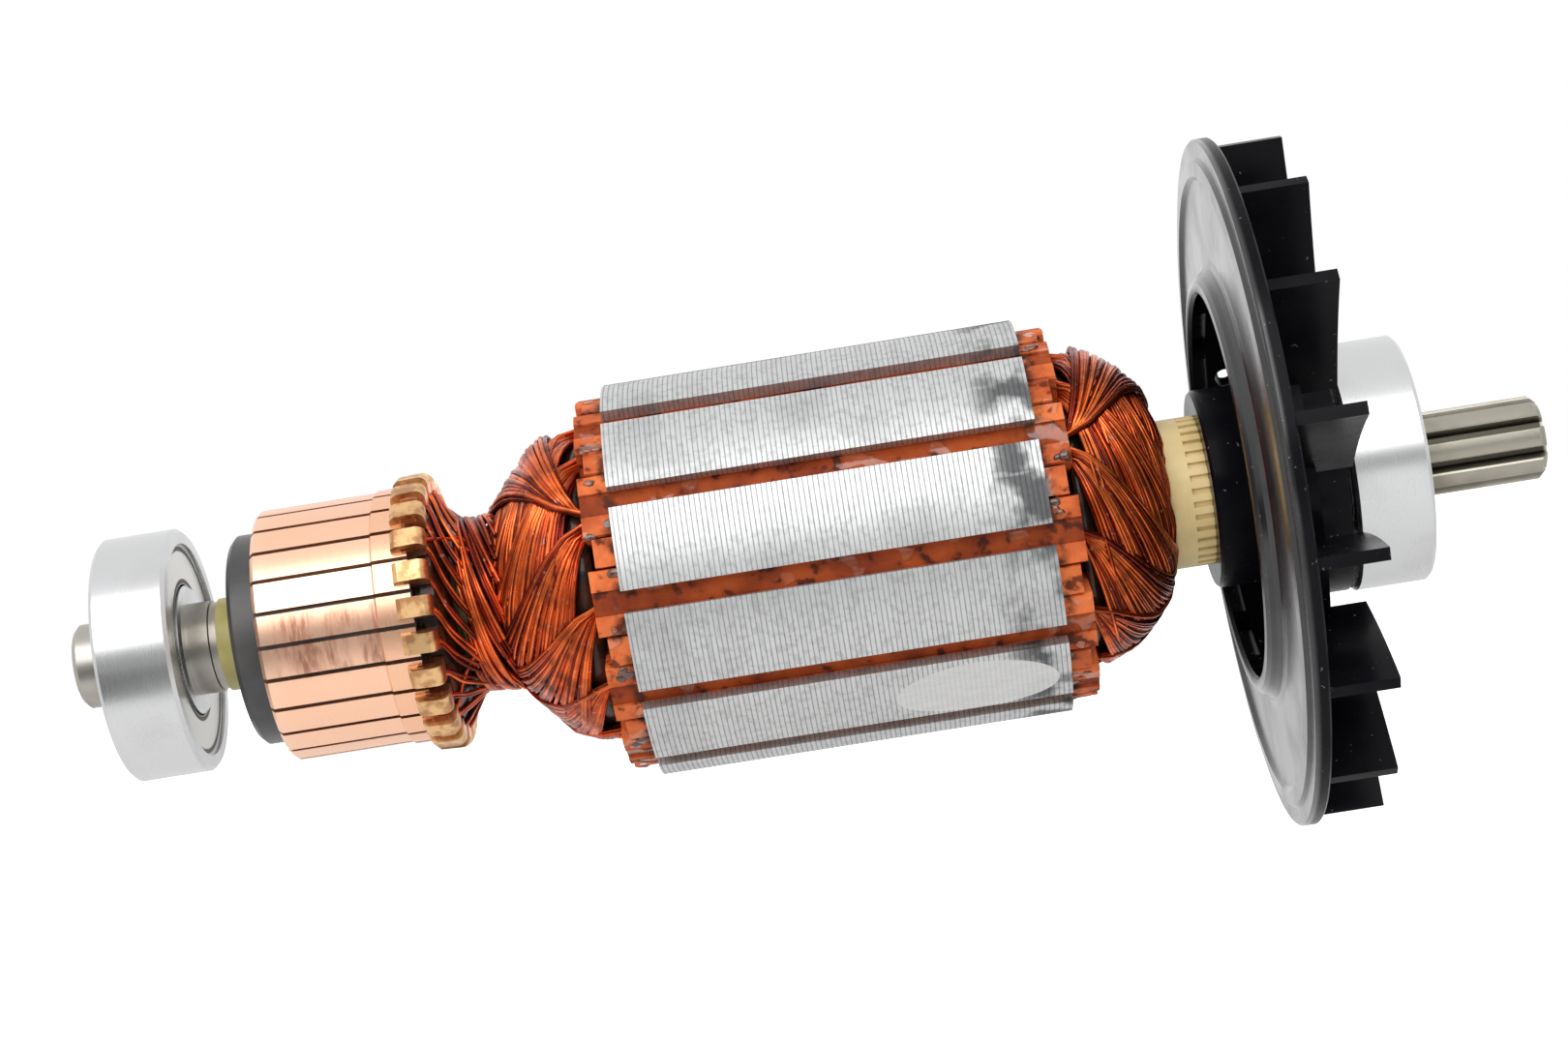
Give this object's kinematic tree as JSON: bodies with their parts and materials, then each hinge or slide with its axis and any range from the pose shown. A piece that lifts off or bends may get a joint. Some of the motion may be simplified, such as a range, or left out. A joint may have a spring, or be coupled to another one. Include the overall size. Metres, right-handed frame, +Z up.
{
  "type": "motor armature",
  "caption": "Power-tool motor armature: shaft with pinion, copper commutator with hooks, wound lamination core, cooling fan and a ball bearing at each end.",
  "frame": {"origin": "centre of the rear (commutator-side) ball bearing, on the shaft's axis", "axes": "+X along the shaft from the commutator to the pinion, +Z up"},
  "size_m": [0.1558, 0.0728, 0.0728],
  "materials": {
    "shaft_steel": "ground and cut steel",
    "yellow_resin": "moulded resin",
    "cream_resin": "satin moulded resin",
    "black_resin": "satin moulded resin",
    "varnished_leads": "varnished copper leads",
    "lamination_steel": "stacked sheet steel",
    "fibre": "red-brown vulcanised fibre with varnish",
    "enamelled_wire": "glossy enamelled copper wire",
    "fan_plastic": "black moulded plastic",
    "copper": "turned copper with brush marks",
    "bearing_steel": "ground and polished steel",
    "cage_steel": "pressed steel",
    "shield_steel": "pressed steel shield"
  },
  "bodies": {
    "rear_race": {"rear_outer_ring": "bearing_steel", "rear_outer_shield": "shield_steel", "rear_inner_shield": "shield_steel"},
    "rotor": {"shaft": "shaft_steel", "shaft_insulation": "yellow_resin", "front_bush": "cream_resin", "commutator_body": "black_resin", "lead_band": "varnished_leads", "lamination_core": "lamination_steel", "rear_end_star": "fibre", "front_end_star": "fibre", "slot_liners": "fibre", "slot_wedges": "fibre", "slot_coils": "enamelled_wire", "rear_winding": "enamelled_wire", "front_winding": "enamelled_wire", "fan": "fan_plastic", "commutator_bar_1": "copper", "commutator_bar_2": "copper", "commutator_bar_3": "copper", "commutator_bar_4": "copper", "commutator_bar_5": "copper", "commutator_bar_6": "copper", "commutator_bar_7": "copper", "commutator_bar_8": "copper", "commutator_bar_9": "copper", "commutator_bar_10": "copper", "commutator_bar_11": "copper", "commutator_bar_12": "copper", "commutator_bar_13": "copper", "commutator_bar_14": "copper", "commutator_bar_15": "copper", "commutator_bar_16": "copper", "commutator_bar_17": "copper", "commutator_bar_18": "copper", "commutator_bar_19": "copper", "commutator_bar_20": "copper", "commutator_bar_21": "copper", "commutator_bar_22": "copper", "commutator_bar_23": "copper", "commutator_bar_24": "copper", "rear_inner_ring": "bearing_steel", "front_inner_ring": "bearing_steel"},
    "rear_cage_set": {"rear_balls": "bearing_steel", "rear_cage": "cage_steel"},
    "front_race": {"front_outer_ring": "bearing_steel", "front_outer_shield": "shield_steel", "front_inner_shield": "shield_steel"},
    "front_cage_set": {"front_balls": "bearing_steel", "front_cage": "cage_steel"}
  },
  "joints": [
    {"name": "rotor_spin", "type": "hinge", "parent": "rear_race", "child": "rotor", "pos_m": [0, 0, 0], "axis": [1, 0, 0], "continuous": true},
    {"name": "rear_cage_spin", "type": "hinge", "parent": "rear_race", "child": "rear_cage_set", "pos_m": [0, 0, 0], "axis": [1, 0, 0], "continuous": true},
    {"name": "front_race_spin", "type": "hinge", "parent": "rotor", "child": "front_race", "pos_m": [0.1296, 0, 0], "axis": [1, 0, 0], "continuous": true},
    {"name": "front_cage_spin", "type": "hinge", "parent": "rotor", "child": "front_cage_set", "pos_m": [0.1296, 0, 0], "axis": [1, 0, 0], "continuous": true}
  ],
  "couplings": [
    {"joint": "rear_cage_spin", "follows": "rotor_spin", "ratio": 0.364},
    {"joint": "front_cage_spin", "follows": "front_race_spin", "ratio": 0.636}
  ]
}
